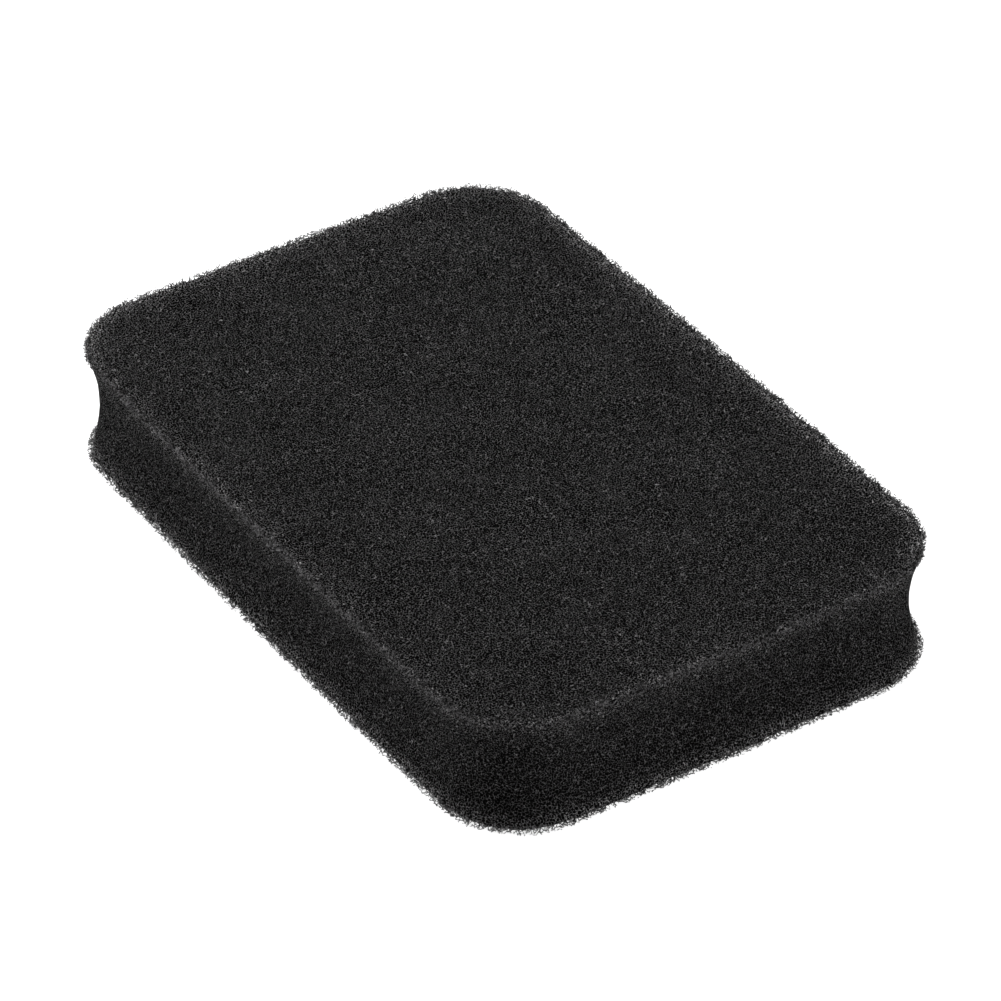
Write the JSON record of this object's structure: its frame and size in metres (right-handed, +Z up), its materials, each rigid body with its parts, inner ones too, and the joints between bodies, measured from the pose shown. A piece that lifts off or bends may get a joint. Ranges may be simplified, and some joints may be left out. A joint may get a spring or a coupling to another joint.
{
  "type": "foam air filter element",
  "caption": "Flat rounded-rectangle block of open-cell foam with dished edges, the filter element of a small motorcycle's air box.",
  "frame": {"origin": "centre of the lower face, which the element rests on", "axes": "+X along the length, +Y along the width, +Z up through the thickness"},
  "size_m": [0.156, 0.104, 0.025],
  "materials": {
    "filter_foam": "charcoal open-cell polyurethane foam, dry, matte"
  },
  "bodies": {
    "root": {"foam_element": "filter_foam"}
  },
  "joints": []
}
